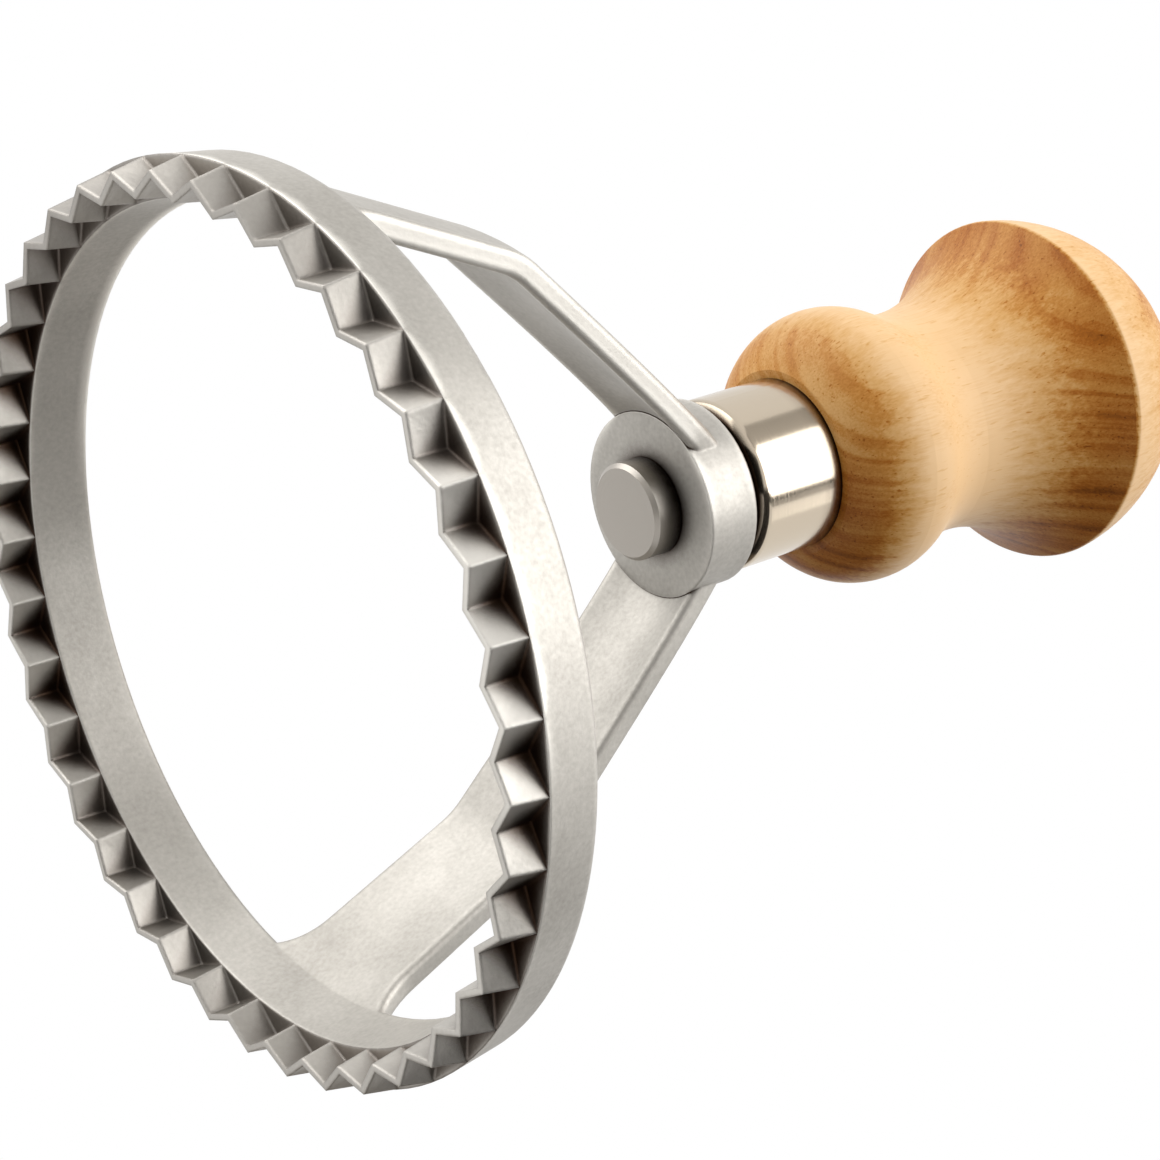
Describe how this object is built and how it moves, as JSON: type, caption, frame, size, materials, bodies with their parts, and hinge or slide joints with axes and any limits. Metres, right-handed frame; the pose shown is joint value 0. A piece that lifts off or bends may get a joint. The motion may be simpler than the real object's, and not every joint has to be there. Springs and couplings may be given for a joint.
{
  "type": "ravioli cutter",
  "caption": "Round hand cutter for filled pasta: cast ring with a zig-zag cutting edge on a two-arm yoke, and a turned wooden knob handle that swivels on a headed pin.",
  "frame": {"origin": "on the tool's axis, in the plane of the cutting edge", "axes": "+Z along the tool's axis from the cutting edge to the handle's knob, +X towards one arm of the yoke"},
  "size_m": [0.084, 0.084, 0.1127],
  "materials": {
    "cast_aluminium": "satin, tumbled casting",
    "pin_steel": "turned",
    "ferrule_plate": "bright plated",
    "beech": "turned and oiled"
  },
  "bodies": {
    "cutter": {"cutter_head": "cast_aluminium"},
    "handle": {"pivot_pin": "pin_steel", "ferrule": "ferrule_plate", "wooden_handle": "beech"}
  },
  "joints": [
    {"name": "handle_swivel", "type": "hinge", "parent": "cutter", "child": "handle", "pos_m": [0, 0, 0.0512], "axis": [0, 0, 1], "continuous": true}
  ]
}
